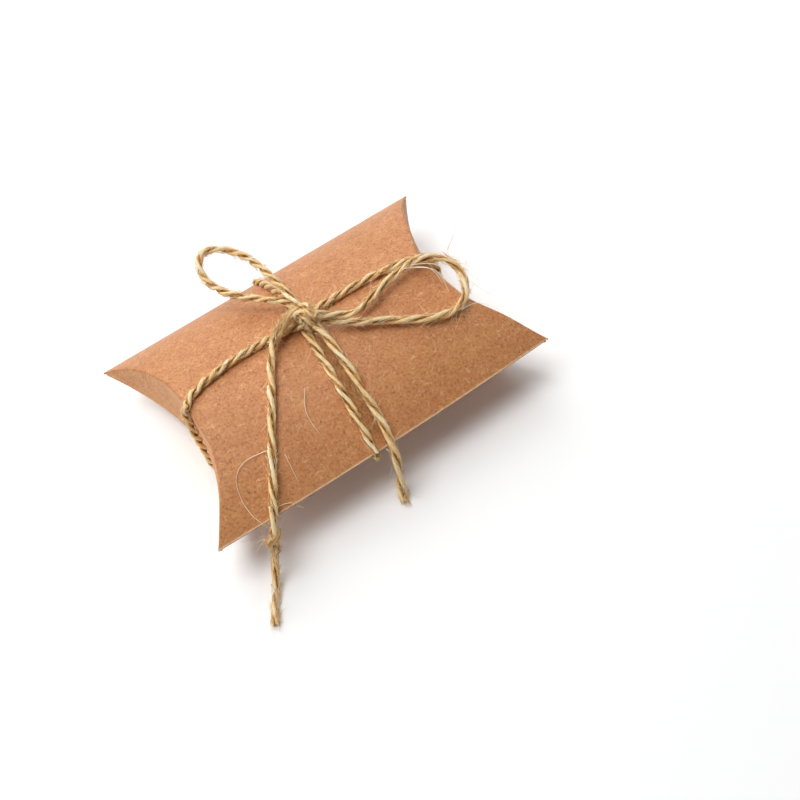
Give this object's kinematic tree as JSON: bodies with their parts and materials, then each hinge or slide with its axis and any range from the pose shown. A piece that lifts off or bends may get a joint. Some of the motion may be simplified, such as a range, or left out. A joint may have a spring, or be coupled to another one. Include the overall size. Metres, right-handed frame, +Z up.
{
  "type": "pillow box",
  "caption": "Pillow-shaped kraft card gift box with curved end flaps, tied lengthwise and crosswise with jute twine in a bow.",
  "frame": {"origin": "on the floor, under the middle of the box without its free twine", "axes": "+X along the box towards its right end, +Y from the glued front edge to the back edge, +Z up"},
  "size_m": [0.0898, 0.0797, 0.0326],
  "materials": {
    "kraft_card": "uncoated brown kraft board with fine flecks",
    "jute_twine": "two-ply natural jute, hairy",
    "glue": "dried paste"
  },
  "bodies": {
    "sleeve": {"top_panel": "kraft_card", "bottom_panel": "kraft_card", "glue_tab": "kraft_card", "glue_line": "glue", "twine_top_left": "jute_twine", "twine_top_right": "jute_twine", "twine_under_left": "jute_twine", "twine_under_right": "jute_twine", "twine_front": "jute_twine", "twine_back": "jute_twine", "twine_under_front": "jute_twine", "twine_under_back": "jute_twine", "twine_crossing": "jute_twine", "bow_knot": "jute_twine", "bow_loop_left": "jute_twine", "bow_loop_right": "jute_twine", "tail_left": "jute_twine", "tail_right": "jute_twine", "tail_knot": "jute_twine"},
    "outer_left": {"outer_flap_left": "kraft_card", "twine_end_left": "jute_twine"},
    "outer_right": {"outer_flap_right": "kraft_card", "twine_end_right": "jute_twine"},
    "inner_left": {"inner_flap_left": "kraft_card"},
    "inner_right": {"inner_flap_right": "kraft_card"}
  },
  "joints": [
    {"name": "outer_flap_left_crease", "type": "hinge", "parent": "sleeve", "child": "outer_left", "pos_m": [-0.034, 0, 0.02417], "axis": [0, 1, 0], "range_deg": [0, 90], "deforming": ["twine_end_left"]},
    {"name": "inner_flap_left_crease", "type": "hinge", "parent": "sleeve", "child": "inner_left", "pos_m": [-0.0334, 0, 0.00172], "axis": [0, -1, 0], "range_deg": [0, 45]},
    {"name": "outer_flap_right_crease", "type": "hinge", "parent": "sleeve", "child": "outer_right", "pos_m": [0.034, 0, 0.02417], "axis": [0, -1, 0], "range_deg": [0, 90], "deforming": ["twine_end_right"]},
    {"name": "inner_flap_right_crease", "type": "hinge", "parent": "sleeve", "child": "inner_right", "pos_m": [0.0334, 0, 0.00172], "axis": [0, 1, 0], "range_deg": [0, 45]}
  ],
  "couplings": [
    {"joint": "inner_flap_left_crease", "follows": "outer_flap_left_crease", "ratio": 0.5},
    {"joint": "inner_flap_right_crease", "follows": "outer_flap_right_crease", "ratio": 0.5}
  ]
}
